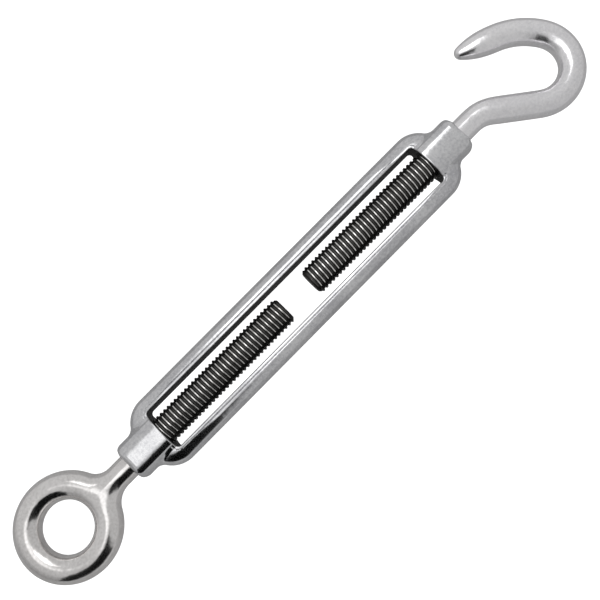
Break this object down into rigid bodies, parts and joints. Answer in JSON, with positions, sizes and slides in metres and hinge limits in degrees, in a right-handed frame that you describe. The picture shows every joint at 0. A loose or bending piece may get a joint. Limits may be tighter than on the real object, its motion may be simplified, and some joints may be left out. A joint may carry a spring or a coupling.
{
  "type": "rigging turnbuckle",
  "caption": "Open-body rigging turnbuckle: a long open frame with a screwed eye at one end and a screwed hook at the other, drawn in or let out by turning the frame.",
  "frame": {"origin": "centre of the eye's hole", "axes": "+X along the turnbuckle towards the hook, +Z along the eye's hole, +Y towards the side that the hook's tip is on"},
  "size_m": [0.1957, 0.0318, 0.01],
  "materials": {
    "frame_steel": "polished casting",
    "eye_steel": "polished",
    "hook_steel": "polished",
    "thread_steel": "cut thread"
  },
  "bodies": {
    "body": {"frame": "frame_steel"},
    "eye_screw": {"eye_rod": "thread_steel"},
    "eye_fitting": {"eye_end": "eye_steel"},
    "hook_screw": {"hook_rod": "thread_steel"},
    "hook_fitting": {"hook_end": "hook_steel"}
  },
  "joints": [
    {"name": "eye_travel", "type": "slide", "parent": "body", "child": "eye_screw", "axis": [-1, 0, 0], "range_m": [-0.00438, 0.04281]},
    {"name": "eye_turn", "type": "hinge", "parent": "eye_screw", "child": "eye_fitting", "pos_m": [0.0228, 0, 0], "axis": [-1, 0, 0], "range_deg": [-1261, 12331]},
    {"name": "hook_travel", "type": "slide", "parent": "body", "child": "hook_screw", "axis": [1, 0, 0], "range_m": [-0.00438, 0.04281]},
    {"name": "hook_turn", "type": "hinge", "parent": "hook_screw", "child": "hook_fitting", "pos_m": [0.1416, 0, 0], "axis": [-1, 0, 0], "range_deg": [-1261, 12331]}
  ],
  "couplings": [
    {"joint": "eye_turn", "follows": "eye_travel", "rad_per_m": 5026.5},
    {"joint": "hook_turn", "follows": "hook_travel", "rad_per_m": 5026.5}
  ]
}
